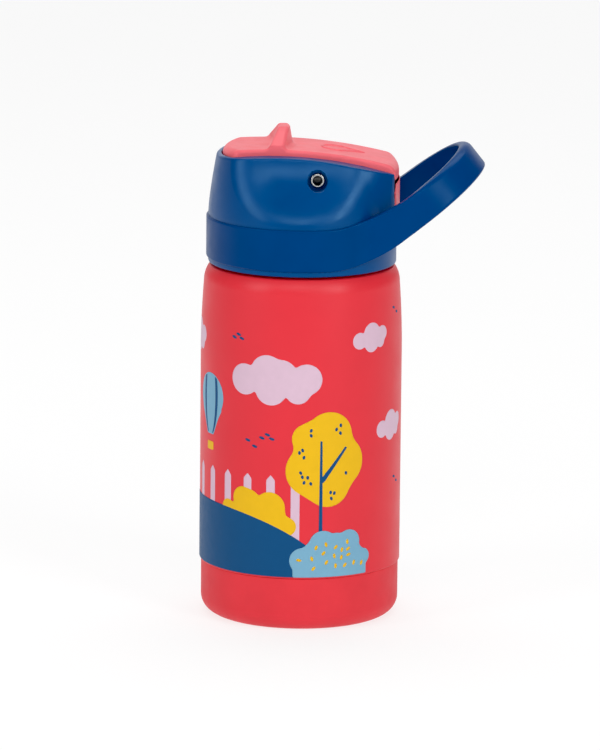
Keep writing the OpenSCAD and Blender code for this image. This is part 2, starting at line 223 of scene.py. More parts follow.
def solid(name, field, low, high, step, lift=0.0):
    """Mesh of field(x, y, z) = 0 by surface nets, each vertex then moved onto the surface."""
    axes = [np.arange(a, b + step, step) for a, b in zip(low, high)]
    x, y, z = axes[0][:, None, None], axes[1][None, :, None], axes[2][None, None, :]
    d = np.broadcast_to(field(x, y, z), [len(a) for a in axes])
    inside = d < 0
    corner = [(i, j, k) for i in (0, 1) for j in (0, 1) for k in (0, 1)]
    size = [n - 1 for n in d.shape]
    count = sum(inside[i:i + size[0], j:j + size[1], k:k + size[2]].astype(np.int8) for i, j, k in corner)
    cells = np.argwhere((count > 0) & (count < 8))
    index = np.full(size, -1, np.int32)
    index[tuple(cells.T)] = np.arange(len(cells))
    values = {c: d[tuple((cells + c).T)] for c in corner}
    total, hits = np.zeros((len(cells), 3)), np.zeros(len(cells))
    for a in corner:
        for axis in range(3):
            b = tuple(c + (n == axis) for n, c in enumerate(a))
            if b not in values:
                continue
            crossed = (values[a] < 0) != (values[b] < 0)
            span = np.where(crossed, values[a] - values[b], 1.0)
            at = np.array(a) + np.eye(3)[axis] * (values[a] / span)[:, None]
            total += at * crossed[:, None]
            hits += crossed
    points = np.array([a[0] for a in axes]) + step * (cells + total / hits[:, None])
    reach, furthest = 0.02, 0.4 * step     # half the span of a slope, and the most that one pass may move
    for _ in range(3):
        slopes = [field(*(points + e).T) - field(*(points - e).T) for e in np.eye(3) * reach]
        normal = np.stack(slopes, -1) / (2 * reach)
        squared = np.maximum((normal ** 2).sum(-1), 0.2)
        shift = np.clip(field(*points.T) / squared, -furthest, furthest)
        points -= normal * shift[:, None]
    quads = []
    for axis in range(3):
        one, two = (axis + 1) % 3, (axis + 2) % 3
        near = [slice(None)] * 3
        far = [slice(None)] * 3
        near[axis], far[axis] = slice(0, -1), slice(1, None)
        changes = np.argwhere(inside[tuple(near)] != inside[tuple(far)])
        changes = changes[(changes[:, one] > 0) & (changes[:, two] > 0)]
        changes = changes[(changes[:, one] < size[one]) & (changes[:, two] < size[two])]
        ring = []
        for s1, s2 in ((1, 1), (0, 1), (0, 0), (1, 0)):
            cell = changes.copy()
            cell[:, one] -= s1
            cell[:, two] -= s2
            ring.append(index[tuple(cell.T)])
        ring = np.stack(ring, -1)
        leaving = inside[tuple(changes.T)]
        ring[~leaving] = ring[~leaving][:, ::-1]
        quads.append(ring)
    quads = np.concatenate(quads)
    mesh = bpy.data.meshes.new(name)
    mesh.from_pydata(((points + (0, 0, lift)) * MM).tolist(), [], quads.tolist())
    mesh.shade_smooth()
    normal /= np.maximum(np.linalg.norm(normal, axis=-1), 1e-9)[:, None]
    mesh.normals_split_custom_set_from_vertices(normal.tolist())
    return link(name, mesh)


# ---------------------------------------------------------------- materials

class Shader:
    """One Principled material and the few nodes that give it grain, tone and roughness that wanders."""

    def __init__(self, name, color, rough, specular=0.5, metallic=0.0):
        self.material = bpy.data.materials.new(name)
        self.material.use_nodes = True
        self.tree = self.material.node_tree
        self.bsdf = self.tree.nodes["Principled BSDF"]
        self.bsdf.inputs["Metallic"].default_value = metallic
        self.bsdf.inputs["Specular IOR Level"].default_value = specular
        self.material.diffuse_color = (*color, 1)
        self.color, self.rough, self.height = color, rough, None
        self.place = self.node("ShaderNodeTexCoord").outputs["Object"]

    def node(self, kind, **inputs):
        """A new node; each input is given as a value or as the socket that feeds it."""
        made = self.tree.nodes.new(kind)
        for key, value in inputs.items():
            socket = made.inputs[key.replace("_", " ")]
            if isinstance(value, bpy.types.NodeSocket):
                self.tree.links.new(value, socket)
            else:
                socket.default_value = value
        return made

    def noise(self, size, detail=3.0, stretch=(1, 1, 1)):
        """Noise whose features are about size millimetres across."""
        mapping = self.node("ShaderNodeMapping", Vector=self.place, Scale=stretch)
        made = self.node("ShaderNodeTexNoise", Vector=mapping.outputs["Vector"], Scale=1 / (size * MM),
                         Detail=detail, Roughness=0.55)
        return made.outputs["Fac"]

    def span(self, value, low, high, source=(0.3, 0.7)):
        """Maps value from the source range to low and high."""
        made = self.node("ShaderNodeMapRange", Value=value)
        for key, number in zip(("From Min", "From Max", "To Min", "To Max"), (*source, low, high)):
            made.inputs[key].default_value = number
        return made.outputs["Result"]

    def tone(self, size, amount):
        """Slow change of colour from a little darker to a little lighter than the base colour."""
        mix = self.tree.nodes.new("ShaderNodeMix")
        mix.data_type = "RGBA"
        lift = 0.15 * amount * amount      # so that a very dark colour varies too
        mix.inputs["A"].default_value = (*[c * (1 - amount) for c in self.color], 1)
        mix.inputs["B"].default_value = (*[min(1, c * (1 + amount) + lift) for c in self.color], 1)
        self.tree.links.new(self.span(self.noise(size, 4.0), 0, 1), mix.inputs["Factor"])
        self.tree.links.new(mix.outputs["Result"], self.bsdf.inputs["Base Color"])
        return self

    def sheen_spots(self, size, amount, stretch=(1, 1, 1)):
        """Roughness that wanders by amount."""
        value = self.span(self.noise(size, 5.0, stretch), self.rough - amount, self.rough + amount)
        self.tree.links.new(value, self.bsdf.inputs["Roughness"])
        return self

    def grain(self, size, depth, detail=2.0, stretch=(1, 1, 1), strength=1.0):
        """A layer of bump, depth in micrometres."""
        bump = self.node("ShaderNodeBump", Height=self.noise(size, detail, stretch), Strength=strength,
                         Distance=depth * 1e-6)
        if self.height is not None:
            self.tree.links.new(self.height, bump.inputs["Normal"])
        self.height = bump.outputs["Normal"]
        self.tree.links.new(self.height, self.bsdf.inputs["Normal"])
        return self

    def set(self, **inputs):
        """Sets inputs of the Principled node, with _ for each space in their names."""
        for key, value in inputs.items():
            self.bsdf.inputs[key.replace("_", " ")].default_value = value
        return self


def linear(red, green, blue):
    """Scene-linear colour that shows as these display values, 0 to 255, under the studio's light."""
    light = 1.14                           # how much brighter than its own colour a lit surface shows
    return tuple((c / 255 / 12.92 if c <= 10 else ((c / 255 + 0.055) / 1.055) ** 2.4) / light
                 for c in (red, green, blue))


def powder_coat(name, color, rough=0.40, specular=0.33):
    return (Shader(name, color, rough, specular).tone(22, 0.025).sheen_spots(9, 0.04)
            .grain(1.1, 9).grain(0.28, 5).material)


def moulded(name, color, rough=0.5, specular=0.25, sheen_tint=(1, 1, 1)):
    shader = Shader(name, color, rough, specular).tone(16, 0.05).sheen_spots(5, 0.05)
    return shader.grain(0.45, 7).grain(0.16, 4).set(Specular_Tint=(*sheen_tint, 1)).material


def printed(name, color):
    return (Shader(name, color, 0.44, 0.18).tone(3.5, 0.02).sheen_spots(2.5, 0.05)
            .grain(0.9, 6).grain(0.22, 4).material)


def steel(name, rough, brushed, gray=0.62):
    """brushed is the brush marks' length round the axis against their width; 1 for a polished face."""
    shader = Shader(name, (gray, gray * 0.995, gray * 0.985), rough, 0.5, 1.0).tone(6, 0.06)
    return shader.sheen_spots(1.5, rough * 0.3, (1, 1, brushed)).grain(0.9, 3, 3, (1, 1, brushed)).material


def silicone(name, color):
    shader = Shader(name, color, 0.42, 0.4).tone(9, 0.03).sheen_spots(4, 0.06).grain(0.5, 6)
    shader.set(Subsurface_Weight=0.25, Subsurface_Radius=(1.0, 0.9, 0.8), Subsurface_Scale=0.003)
    return shader.material


def straw_plastic(name):
    shader = Shader(name, (0.72, 0.80, 0.83), 0.28, 0.5).tone(12, 0.02).sheen_spots(6, 0.05).grain(0.7, 4)
    shader.set(Subsurface_Weight=0.2, Subsurface_Radius=(1.0, 1.0, 1.0), Subsurface_Scale=0.001)
    return shader.material


BLUE_SHEEN = (0.36, 0.73, 1.0)             # tint of the highlights on the blue plastic
RED = powder_coat("red_powder_coat", linear(234, 52, 64))
BOOT = moulded("red_boot", linear(234, 58, 68), 0.52, 0.26)
NAVY = moulded("blue_plastic", linear(0, 71, 134), 0.34, 0.44, BLUE_SHEEN)
HANDLE = moulded("blue_handle_plastic", linear(0, 64, 126), 0.36, 0.20, BLUE_SHEEN)
CORAL = moulded("coral_plastic", linear(255, 116, 126), 0.40, 0.16)
CORE = moulded("white_core_plastic", linear(232, 232, 228), 0.5, 0.4)
RUBBER = moulded("dark_rubber", linear(52, 54, 58), 0.7, 0.3)
SILICONE = silicone("milky_silicone", linear(232, 234, 232))
STRAW = straw_plastic("frosted_straw")
BRUSHED = steel("brushed_steel", 0.3, 30)
POLISHED = steel("polished_steel", 0.18, 1, 0.45)
# Near-black steel for the faces in the pin's dished ends: painted dark reflection, not a real finish
PAINTED_DARK_REFLECTION = steel("steel_painted_dark_reflection", 0.42, 1, 0.045)

PRINT = {
    "lilac": printed("print_lilac", linear(226, 194, 213)),
    "yellow": printed("print_yellow", linear(243, 192, 34)),
    "blue": printed("print_light_blue", linear(128, 180, 208)),
    "navy": printed("print_navy", linear(20, 82, 132)),
}


# ---------------------------------------------------------------- bottle

def barrel_radius(z):
    """Outer radius of the barrel above the boot."""
    s = np.clip((z - WAIST_Z) / (ARC_Z - WAIST_Z), 0, 1)
    return BODY_R - (BODY_R - SHOULDER_R) * s * s


def barrel_side(t):
    """The barrel's outline from the waist to the flat of the shoulder, drawn in by t."""
    side = [(float(barrel_radius(z)) - t, float(z)) for z in np.linspace(WAIST_Z, ARC_Z, 13)]
    centre_r, arc_r = SHOULDER_R - SHOULDER_ARC, SHOULDER_ARC - t
    arc = [radians(a) for a in np.linspace(4, 40, 13)]
    return side + [(centre_r + arc_r * cos(a), ARC_Z + arc_r * sin(a)) for a in arc]


def make_barrel():
    """Outer wall: a foot stepped in for the boot, the side, the shoulder and the neck, and back inside."""
    foot_r, seat_r = BODY_R - 1.8, 23.4    # seat_r is the edge of the hole that the floor disc closes
    foot = rounded([
        (foot_r, SHELL_FOOT_Z, 8.6), (foot_r, BOOT_H + 0.05, 0), (BODY_R - 0.2, BOOT_H + 0.15, 0.05),
        (BODY_R, BOOT_H + 0.45, 0.2), (BODY_R, WAIST_Z, 0), (25.0, SHELL_FOOT_Z, 0)], 10)
    foot = foot[:-2]                       # the last two corners only steer the arcs
    neck = rounded([
        (SHOULDER_R - 4, SHOULDER_Z, 1.5), (NECK_R, SHOULDER_Z, 0.8), (NECK_R, RIM_Z - WALL, 0),
        (NECK_R - WALL, RIM_Z - WALL, 0), (NECK_R - WALL, SHOULDER_Z - WALL, 0.5),
        (SHOULDER_R - 3.5, SHOULDER_Z - WALL, 0)], 6)
    inner_side = barrel_side(WALL)[::-1]
    inner_r, inner_z = foot_r - WALL, SHELL_FOOT_Z + WALL
    inner_foot = rounded([(inner_r, 40, 0), (inner_r, inner_z, 8.1), (seat_r, inner_z, 0)], 10)
    outline = [(seat_r, SHELL_FOOT_Z)] + foot + barrel_side(0)[1:] + neck + inner_side + inner_foot
    return place(lathe("red_barrel", outline, 256), "bottle", RED, ["outer_shell"])


def make_boot():
    """Cup round the foot, with a groove under it for the foot ring."""
    inner_r, floor = BODY_R - 1.65, 1.5
    outline = rounded([
        (0, 0, 0), (GROOVE_IN, 0, 0.2), (GROOVE_IN, GROOVE_H, 0), (GROOVE_OUT, GROOVE_H, 0),
        (GROOVE_OUT, 0, 0.2), (BOOT_R, 0, 9.8), (BOOT_R, BOOT_H, 0.25), (inner_r, BOOT_H, 0.1),
        (inner_r, floor, 8.6), (0, floor, 0)], 10)
    return place(lathe("red_boot_cup", outline, 256), "bottle", BOOT, ["base_boot"])


def make_foot_ring():
    inner_r, outer_r, height, edge = GROOVE_IN + 0.1, GROOVE_OUT - 0.1, GROOVE_H - 0.05, 0.25
    outline = rounded([(inner_r, 0, edge), (outer_r, 0, edge), (outer_r, height, 0), (inner_r, height, 0)])
    return place(lathe("grip_ring", outline), "bottle", RUBBER, ["foot_ring"])


def make_liner():
    """Inner wall, from the middle of its floor up to the drinking rim and back down inside."""
    knee_z, throat_z = SHOULDER_Z - 8, SHOULDER_Z - 3.5
    outer_r, throat_r, under_z = LINER_R + WALL, MOUTH_R + WALL, LINER_FLOOR - WALL
    outer = [(0, under_z, 0), (outer_r, under_z, 8.5), (outer_r, knee_z, 9), (throat_r, throat_z, 2),
             (throat_r, RIM_Z - WALL, 0)]
    rim = [(NECK_R, RIM_Z - WALL, 0), (NECK_R, RIM_Z, 0.2), (MOUTH_R, RIM_Z, 0.2)]
    inner = [(MOUTH_R, throat_z, 2.5), (LINER_R, knee_z, 8.5), (LINER_R, LINER_FLOOR, 8),
             (0, LINER_FLOOR, 0)]
    outline = rounded(outer + rim + inner, 8)
    return place(lathe("steel_liner", outline), "bottle", BRUSHED, ["inner_liner"])


def make_gasket():
    low, high = bottom("neck_gasket"), top("neck_gasket")
    inner_r, edge = MOUTH_R + 0.1, 0.3
    outline = rounded([(inner_r, low.z, edge), (high.x, low.z, edge), (high.x, high.z, edge),
                       (inner_r, high.z, edge)])
    return place(lathe("gasket_ring", outline), "gasket", SILICONE, ["neck_gasket"])


# ---------------------------------------------------------------- lid, heights from its lower edge

LOOP_TILT = radians(38.5)                  # slope of the loop's plane
LOOP_HALF = 27.0                           # half the loop's width
STRAP_T = 3.8                              # the strap's thickness
STRAP_H = 11.3                             # its height, square to the loop's plane
# (x, h) of the middle of the strap at the loop's far end
LOOP_END = (LOOP_TIP - 0.5 * STRAP_H * sin(LOOP_TILT) - 0.3, LID_H - 0.6)
BAND_FOOT = 1.9                            # the band's lower edge at the front
BAND_TOP = 16.95                           # its upper edge there


def band_low(x):
    """Height of the band's lower edge, which curves up towards the loop from x = 10."""
    return BAND_FOOT + 0.0155 * np.maximum(x - 10, 0) ** 2


def band_high(x):
    """Height of the band's upper edge, which curves up from x = 8."""
    return BAND_TOP + 0.0128 * np.maximum(x - 8, 0) ** 2


def loop_line(x, side):
    """Height of the loop's upper (side 1) or lower (side -1) face at x."""
    return LOOP_END[1] + (x - LOOP_END[0]) * tan(LOOP_TILT) + side * 0.5 * STRAP_H / cos(LOOP_TILT)


def edge_distance(x, h, curve, side):
    """Distance above (side 1) or below (side -1) a curve of x, allowing for its slope."""
    e = 0.05
    slope = (curve(x + e) - curve(x - e)) / (2 * e)
    return side * (h - curve(x)) / np.sqrt(1 + slope ** 2)


def strap_low(x):
    """Lower edge of the arms: the band's edge, which turns into the loop's lower face."""
    w = smooth(33, 40, x)
    return (1 - w) * band_low(x) + w * loop_line(x, -1)


def strap_high(x):
    """Upper edge of the arms."""
    w = smooth(30, 39, x)
    return (1 - w) * band_high(x) + w * loop_line(x, 1)


def strap(x, y, h):
    """The two arms and the half circle that joins them, and the same walls with no top or bottom."""
    along = (x - LOOP_END[0]) * cos(LOOP_TILT) + (h - LOOP_END[1]) * sin(LOOP_TILT)
    outside = np.hypot(np.maximum(along + LOOP_HALF, 0), y) - LOOP_HALF
    lower = edge_distance(x, h, strap_low, -1)
    upper = edge_distance(x, h, strap_high, 1)
    upper_edge = 0.7 + 2.3 * smooth(34, 56, x)
    body = both(both(outside, upper, upper_edge), lower, 1.0)
    return both(body, -outside - STRAP_T, 0.6), slab(outside + STRAP_T / 2, STRAP_T / 2)


def handle_field(x, y, h, grow=0.0):
    """Band and loop as one moulding; grow swells it, or shrinks it when below zero."""
    beyond = np.maximum(BAND_IN - np.hypot(x, y), -x)
    arms, walls = strap(x, y, h)
    ring = slab(np.hypot(x, y) - (BAND_IN + BAND_R) / 2, (BAND_R - BAND_IN) / 2)
    ring = join(ring, np.maximum(walls, beyond), 2.5)
    ring = both(ring, edge_distance(x, h, band_low, -1), 0.6)
    # The band's own upper edge stays level beyond x = 24, where the arms rise from it
    ring = both(ring, edge_distance(x, h, lambda v: band_high(np.minimum(v, 24)), 1), 0.6)
    return np.minimum(ring, np.maximum(arms, beyond)) - grow


def side_radius(h):
    """The housing's radius, which leans in above h = 18."""
    return LID_R - 0.0482 * np.maximum(h - 18, 0) ** 1.35


def rear_reach(y):
    """Radius about the pin that the cover's curved rear end sweeps, at y."""
    return COVER_REAR - PIN_X - REAR_ARC + np.sqrt(REAR_ARC ** 2 - y ** 2)


def rear_sweep(x, y, h, play):
    """Space that the cover's rear end sweeps as it opens, with play round it."""
    swept = np.hypot(x - PIN_X, h - PIN_H) - rear_reach(y) - play
    return np.maximum(np.maximum(swept, slab(y, COVER_W + play)), PIN_X - 4 - x)


def housing_outside(x, y, h):
    """Round side, the two jaws beside the cover's rear end, a scoop in each side and the domed top."""
    jaw_x, jaw_w, jaw_h = 33.2, CHANNEL_W + 0.5, 20.0
    slope = (0.598, 0.801)                 # normal of the jaws' slanted faces
    scoop_r, dome_x, dome_r = 21.5, -10.3, 147.5
    shape = both(np.hypot(x, y) - side_radius(h), -h, 0.7)
    corner = slope[0] * (x - jaw_x) + slope[1] * (np.abs(y) - jaw_w)
    jaws = both(both(x - jaw_x, corner, 2.0), jaw_h - h, 0.8)
    shape = shape + smooth(9, 23, x) * (join(shape, jaws, 0.6) - shape)
    scoop_y, scoop_h = 41.9 + x * x / 400, 43.8 + (x + 4) ** 2 / 190
    shape = cut(shape, disc(np.abs(y) - scoop_y, h - scoop_h, scoop_r), 6.5)
    return both(shape, disc(x - dome_x, h + dome_r - LID_H, dome_r), 0.7)


def housing_room(x, y, h):
    """Space inside for the core, for the channel under the cover and for the cover's swing."""
    wall, ceiling, side_ledge, front_ledge = 1.7, 10.8, 1.8, 1.2
    core = np.maximum(np.hypot(x, y) - LID_R + wall, h - ceiling)
    channel = np.maximum(slab(y, CHANNEL_W - side_ledge), x - PIN_X)
    channel = np.maximum(channel, np.hypot(x, y) - COVER_FRONT + front_ledge)
    # No ledge from x = -1 to 6.3, where the cover's sides reach down to the pin
    middle = np.maximum(slab(y, CHANNEL_W), slab(x - 2.65, 3.65))
    return np.minimum(np.minimum(core, channel), np.minimum(middle, rear_sweep(x, y, h, 0.3)))


def housing_opening(x, y, h):
    """What is open to the outside: the cover's seat, the top behind the pin and the slot down the back."""
    slot_x, slot_h = 20, 19.9              # the slot's front and its foot
    seat = np.maximum(np.maximum(slab(y, CHANNEL_W), x - PIN_X - 1.1), LEDGE_H - h)
    seat = np.maximum(seat, np.hypot(x, y) - COVER_FRONT - 0.3)
    upper = np.maximum(np.maximum(slab(y, CHANNEL_W), PIN_H - 0.1 - h), PIN_X - x)
    slot = np.maximum(np.maximum(slab(y, CHANNEL_W), slot_h - h), slot_x - x)
    return np.minimum(np.minimum(seat, upper), slot)


def housing_field(x, y, h):
    shape = cut(housing_outside(x, y, h), housing_room(x, y, h))
    shape = cut(shape, housing_opening(x, y, h), 0.45)
    # Recess round each end of the pin, with its floor at recess_y, and the pin's bore
    recess_r, recess_y = 3.45, 21.0
    across = np.hypot(x - PIN_X, h - PIN_H)
    shape = cut(shape, np.maximum(across - recess_r, recess_y - np.abs(y)), 0.25)
    shape = cut(shape, across - PIN_R)
    # The band's seat is 0.5 tighter than the band, so that no gap shows round it
    return cut(shape, handle_field(x, y, h, -0.5))


def drop_mark(x, y):
    """Outline of the raised drop on the cover."""
    round_end = disc(x - 11.5, y, 4.6)
    tip = polygon(x, y, [(13.5, -4.1), (21.5, 0), (13.5, 4.1)])
    return join(round_end, tip, 1.0)


def fin_field(x, y, h):
    """Thumb fin. Its ends run forward and down to the cover's sides."""
    foot, ends, brow = 38, FIN_TOP - 5.5, FIN_TOP - 1.4
    out = (np.sqrt(y * y + 9) - 3) / COVER_W
    side = polygon(x + 2.9 * out, h, [(-10.3, foot), (-7.6, brow), (-6.0, brow), (-4.3, foot)])
    face = polygon(y, h, [(-COVER_W, foot), (-COVER_W, ends), (-3.8, FIN_TOP), (3.8, FIN_TOP),
                          (COVER_W, ends), (COVER_W, foot)])
    return both(side - 1.35 + 0.5 * out, face, 1.3)


def cover_field(x, y, h):
    """Domed cover with a raised mark and a fin, hollow below, and a hub on the pin at each side."""
    wall, dome_x, dome_r, hub_r, hub_half = 1.8, -12.2, 180, 4.6, 1.85
    crown = disc(x - dome_x, h + dome_r - LID_H - 2, dome_r)
    mark = 0.4 * smooth(0.6, 0.15, np.abs(drop_mark(x, y)))
    across = np.hypot(x - PIN_X, h - PIN_H)
    ends = np.where(x < PIN_X, np.hypot(x, y) - COVER_FRONT, across - rear_reach(y))
    # Underside: just above the ledge at the front, a little below the pin's axis behind x = -0.5
    under = np.interp(x, [-1.1, -0.5], [LEDGE_H + 0.3, PIN_H - 1.0]) - h
    shape = both(ends, crown - mark, 2.6)
    shape = both(shape, slab(y, COVER_W), 1.3)
    shape = join(shape, fin_field(x, y, h), 1.4)
    shape = np.maximum(both(shape, under, 0.3), slab(y, COVER_W))
    hollow = both(both(ends + wall, crown + 2.2, 1.5), slab(y, COVER_W - wall), 1.0)
    shape = cut(shape, hollow, 0.4)
    hub = np.maximum(across - hub_r, slab(np.abs(y) - COVER_W + hub_half, hub_half))
    return cut(np.minimum(shape, hub), across - PIN_R - 0.05, 0.2)


def plate_field(x, y, h):
    """Strip at the lid's back, below the cover's rear end and hollowed for its swing."""
    low, high = bottom("rear_plate"), top("rear_plate")
    outer = np.hypot(x - COVER_REAR - 0.35 + REAR_ARC, y) - REAR_ARC
    shape = both(outer, slab(y, COVER_W), 1.0)
    shape = both(shape, slab(h - (low.z + high.z) / 2 + LID_Z, (high.z - low.z) / 2), 0.2)
    return cut(shape, rear_sweep(x, y, h, 0.1), 0.1)


def pad_field(x, y, h):
    """Block under the cover that pinches the folded spout shut."""
    low, high = bottom("pinch_pad"), top("pinch_pad")
    middle, half = (low + high) / 2, (high - low) / 2
    sides = both(slab(x - middle.x, half.x), slab(y, half.y), 2.0)
    return both(sides, slab(h + LID_Z - middle.z, half.z), 0.9)


def make_housing():
    housing = solid("blue_housing", housing_field, (-35, -35.1, -1), (36, 35.1, 42), 0.5, LID_Z)
    place(housing, "lid", NAVY, ["lid_housing"])


def make_handle():
    handle = solid("carry_loop_and_band", handle_field, (-35.4, -35.4, 0.5), (64.8, 35.4, 46), 0.45, LID_Z)
    place(handle, "lid", HANDLE, ["carry_handle"])


def make_rear_strip():
    strip = solid("coral_rear_strip", plate_field, (22, -15.6, 19), (36, 15.6, 32), 0.35, LID_Z)
    place(strip, "lid", CORAL, ["rear_plate"])


def make_cover():
    cover = solid("coral_flip_cover", cover_field, (-29.4, -15.2, 27.5), (35, 15.2, 50.6), 0.38, LID_Z)
    place(cover, "cover", CORAL, ["flip_cover"])
    pad = solid("pinch_block", pad_field, (-15, -7, 33), (-5, 7, 42), 0.3, LID_Z)
    place(pad, "cover", SILICONE, ["pinch_pad"])


def make_pin():
    """Pin with a dished end at each side, and a near-black steel face at the bottom of each dish, which is
    a painted dark reflection.
    """
    dish_r, dish = 1.7, PIN_END - 0.35
    outline = rounded([
        (0, -dish, 0), (dish_r, -dish, 0.1), (dish_r + 0.05, -PIN_END, 0.15), (PIN_R, -PIN_END, 0.5),
        (PIN_R, PIN_END, 0.5), (dish_r + 0.05, PIN_END, 0.15), (dish_r, dish, 0.1), (0, dish, 0)])
    pin = lathe("steel_hinge_pin", outline, 64, (PIN_X, 0), PIN_H + LID_Z, (0, 1, 0))
    place(pin, "lid", POLISHED, ["hinge_pin"])
    face_r, behind = dish_r + 0.03, PIN_END - 0.6
    face = [(0, behind), (face_r, behind), (face_r, PIN_END - 0.25), (0, PIN_END - 0.15)]
    # Each face is a near-black disc that stands in for the dark reflection in the dish: painted reflection
    for side, name in ((-1, "near_pin_face"), (1, "far_pin_face")):
        painted_dark_face = lathe(name, face, 48, (PIN_X, 0), PIN_H + LID_Z, (0, side, 0))
        place(painted_dark_face, "lid", PAINTED_DARK_REFLECTION)


def make_mouthpiece_base():
    """Sleeve through the well's floor, its flange, and the column under the knuckle."""
    bore_r, sleeve_r, flange_r, foot_h, floor, top_h = 2.2, 4.6, 7.1, -3.9, 3.3, SPOUT_H - 2.2
    outline = rounded([
        (bore_r, foot_h, 0), (sleeve_r, foot_h, 0.4), (sleeve_r, floor, 0), (flange_r, floor, 0.3),
        (flange_r, floor + 1.8, 0.6), (KNUCKLE_R, floor + 2.8, 1.5), (KNUCKLE_R, top_h - 1, 1.2),
        (bore_r, top_h, 0.3)])
    column = lathe("mouthpiece_column", outline, 96, (STRAW_X, 0), LID_Z)
    place(column, "lid", SILICONE, ["mouthpiece_base"])


def make_mouthpiece_spout():
    """Knuckle and tube, drawn along the folded spout from the knuckle's centre."""
    bore_r, tube_r, lip_r, length = 2.2, 4.3, 4.8, STRAW_X - SPOUT_TIP
    knuckle = [(KNUCKLE_R * sin(a), -KNUCKLE_R * cos(a)) for a in np.linspace(0.0, 2.05, 22)]
    tube = rounded([
        (tube_r + 0.05, 8, 3), (tube_r, length - 4.4, 1.5), (lip_r, length - 2.6, 0.8),
        (lip_r, length, 0.9), (bore_r, length, 0.5), (bore_r, 3, 0.2), (0, 3, 0)])
    spout = lathe("mouthpiece_tube", knuckle + tube, 96, (STRAW_X, 0), SPOUT_H + LID_Z, (-1, 0, 0))
    place(spout, "spout", SILICONE, ["mouthpiece_spout"])


def dress_cad_nodes():
    """CAD nodes whose shape is right keep it, with small rounded edges and their own material."""
    looks = {"lid_core": (CORE, 0.25), "straw_collar": (CORE, 0.15), "vent_valve": (SILICONE, 0.2),
             "drinking_straw": (STRAW, 0.12), "shell_floor": (BRUSHED, 0.1), "getter_cap": (BRUSHED, 0.1),
             "neck_thread": (BRUSHED, 0)}
    for name, (material, edge) in looks.items():
        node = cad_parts[name]
        node.data.materials.clear()
        node.data.materials.append(material)
        if edge:
            bevel = node.modifiers.new("edges", "BEVEL")
            bevel.width, bevel.segments, bevel.limit_method = edge * MM, 2, "ANGLE"
            bevel.angle_limit = radians(50)
            node.modifiers.new("normals", "WEIGHTED_NORMAL")


# ---------------------------------------------------------------- printed picture
# Flat shapes in (s, z): s is the way round the barrel from the front in mm, z the height above the table.

ROUND = 2 * pi * BODY_R                    # once round the barrel
SKIN = 0.03                                # thickness of one layer of ink
FOOT_Z = BOOT_H + 0.7                      # the picture ends just above the boot
SKY, BEHIND, MIDDLE, GROUND, FRONT, TOPMOST = range(6)     # layers of ink, the lowest first


def on_barrel(s, z, lift):
    """Place in metres of a point of the picture, lift above the barrel."""
    r = float(barrel_radius(z)) + lift
    return (r * sin(s / BODY_R) * MM, -r * cos(s / BODY_R) * MM, z * MM)


def ink(name, mesh, layer, color):
    """Gives a flat shape its thickness, down to the barrel, and its colour."""
    mesh.shade_smooth()
    obj = link(name, mesh)
    skin = obj.modifiers.new("ink", "SOLIDIFY")
    skin.thickness, skin.offset = (layer + 0.5) * SKIN * MM, -1
    return place(obj, "bottle", PRINT[color])


def patch(name, field, low, high, layer, color, step=0.5):
    """Ink wherever field(s, z) is below zero, cut cell by cell from a grid so that its edge is smooth."""
    s = np.arange(low[0], high[0] + step, step)
    z = np.arange(low[1], high[1] + step, step)
    d = np.broadcast_to(field(s[:, None], z[None, :]), (len(s), len(z)))
    inside = d < 0
    verts, faces, known, lift = [], [], {}, (layer + 0.5) * SKIN

    def vertex(a, b):
        """Number of the vertex at grid point a or, if b is another point, where the ink ends between."""
        key = (a, b) if a <= b else (b, a)
        if key not in known:
            t = 0.0 if a == b else d[a] / (d[a] - d[b])
            ds, dz = s[b[0]] - s[a[0]], z[b[1]] - z[a[1]]
            known[key] = len(verts)
            verts.append(on_barrel(s[a[0]] + t * ds, z[a[1]] + t * dz, lift))
        return known[key]

    filled = inside[:-1, :-1] | inside[1:, :-1] | inside[1:, 1:] | inside[:-1, 1:]
    for i, j in np.argwhere(filled).tolist():
        ring = [(i, j), (i + 1, j), (i + 1, j + 1), (i, j + 1)]
        face = []
        for a, b in zip(ring, ring[1:] + ring[:1]):
            if inside[a]:
                face.append(vertex(a, a))
            if inside[a] != inside[b]:
                face.append(vertex(a, b))
        if len(face) > 2:
            faces.append(face)
    mesh = bpy.data.meshes.new(name)
    mesh.from_pydata(verts, [], faces)
    return ink(name, mesh, layer, color)


def spots(name, places, layer, color, size, tilt=0.0):
    """Small oval marks at (s, z) or (s, z, tilt) places; size is (half width, half height)."""
    verts, faces, sides, lift = [], [], 14, (layer + 0.5) * SKIN
    for at in places:
        turn = radians(at[2] if len(at) > 2 else tilt)
        first = len(verts)
        verts.append(on_barrel(at[0], at[1], lift))
        for k in range(sides):
            u, v = size[0] * cos(2 * pi * k / sides), size[1] * sin(2 * pi * k / sides)
            s, z = at[0] + u * cos(turn) - v * sin(turn), at[1] + u * sin(turn) + v * cos(turn)
            verts.append(on_barrel(s, z, lift))
            faces.append((first, first + 1 + k, first + 1 + (k + 1) % sides))
    mesh = bpy.data.meshes.new(name)
    mesh.from_pydata(verts, [], faces)
    return ink(name, mesh, layer, color)


def blobs(s, z, circles, k=1.0):
    """Union of (s, z, radius) circles, their meeting corners filled with radius k."""
    discs = [disc(s - cs, z - cz, r) for cs, cz, r in circles]
    shape = discs[0]
    for other in discs[1:]:
        shape = join(other, shape, k)
    return shape


def moved(circles, ds, dz=0.0, grow=1.0):
    """The circles scaled by grow about their motif's centre and moved by (ds, dz)."""
    return [(ds + s * grow, dz + z * grow, r * grow) for s, z, r in circles]


